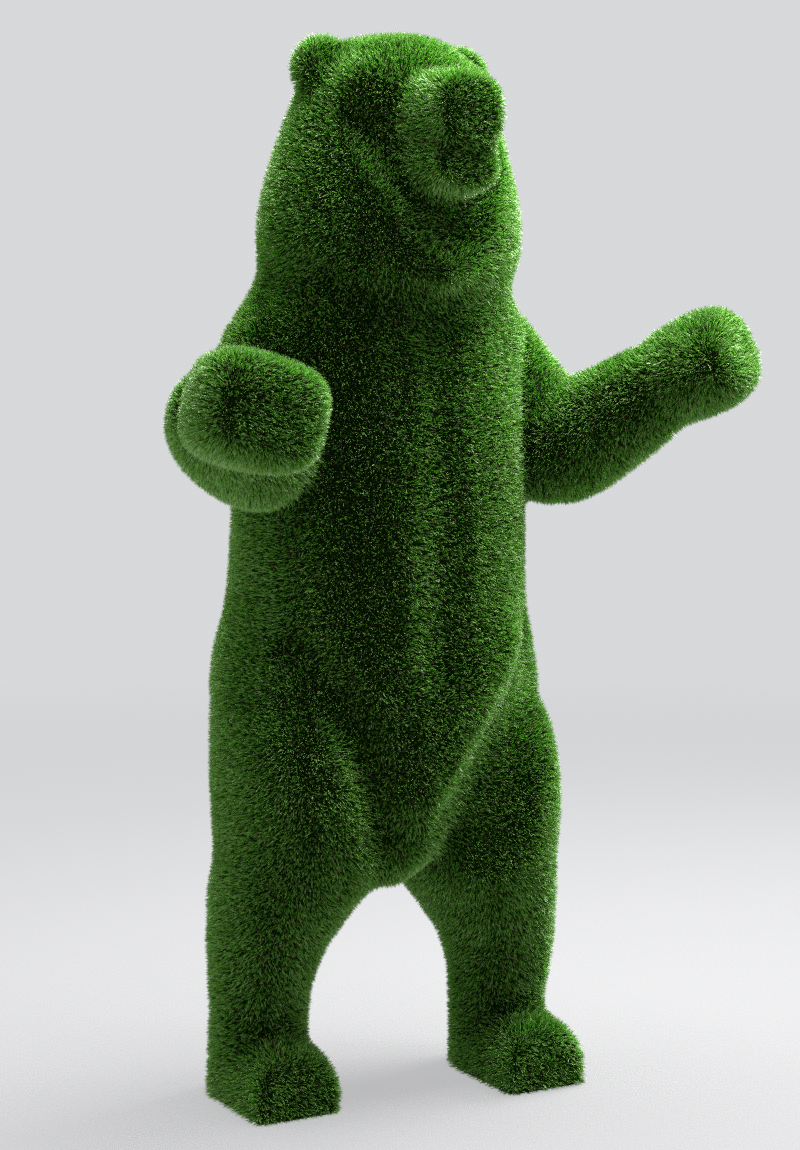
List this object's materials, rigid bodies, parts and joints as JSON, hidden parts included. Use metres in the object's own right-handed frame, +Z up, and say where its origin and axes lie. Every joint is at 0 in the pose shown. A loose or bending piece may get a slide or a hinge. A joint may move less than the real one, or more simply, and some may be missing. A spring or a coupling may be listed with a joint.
{
  "type": "topiary bear",
  "caption": "Life-size bear standing upright with raised arms, a sculpture covered all over in clipped artificial grass.",
  "frame": {"origin": "on the floor, below the middle of the figure's overall box, a little in front of the feet's middle", "axes": "+Z up, the bear looks along -Y and its left side is at +X"},
  "size_m": [1.245, 0.8592, 2.1],
  "materials": {
    "turf": "dense pile of short green plastic grass blades, darker between them"
  },
  "bodies": {
    "root": {"topiary_bear": "turf"}
  },
  "joints": []
}
